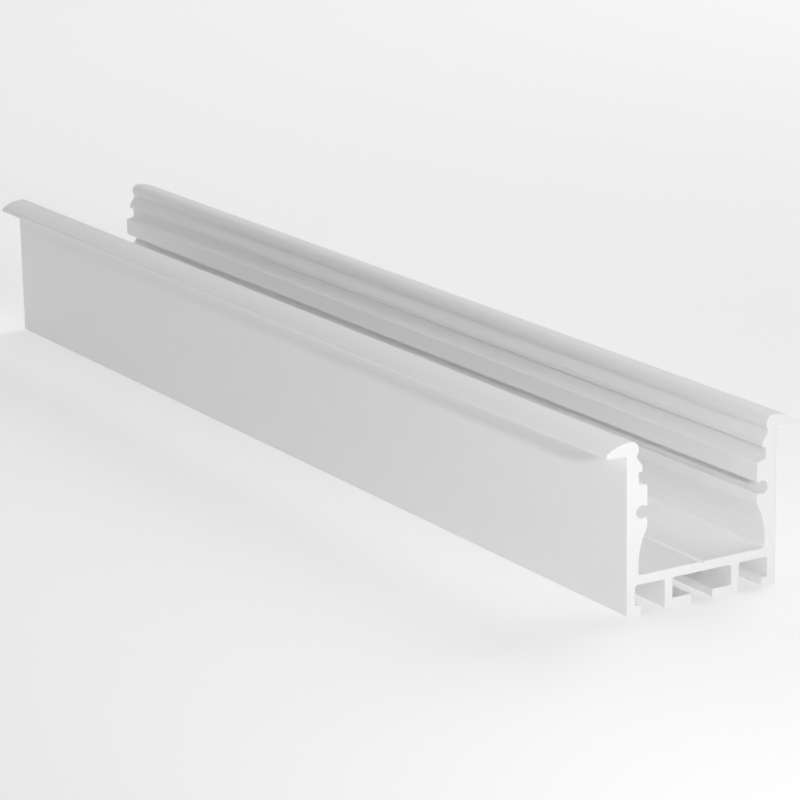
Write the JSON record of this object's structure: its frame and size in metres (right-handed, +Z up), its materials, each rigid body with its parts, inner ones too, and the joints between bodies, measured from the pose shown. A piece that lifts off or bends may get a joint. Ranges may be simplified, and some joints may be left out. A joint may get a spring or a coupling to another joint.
{
  "type": "led strip aluminium profile",
  "caption": "Recessed channel profile for an LED strip, with trim flanges along its mouth, snap-in cover grooves, open screw ports and a T-slot for clips underneath.",
  "frame": {"origin": "middle of the bar's length, on its centre line, at the level of the feet it stands on", "axes": "+X across the bar, +Y along its length, +Z up through the open mouth of the channel"},
  "size_m": [0.038, 0.23, 0.0292],
  "materials": {
    "white_coat": "satin"
  },
  "bodies": {
    "root": {"profile": "white_coat"}
  },
  "joints": []
}
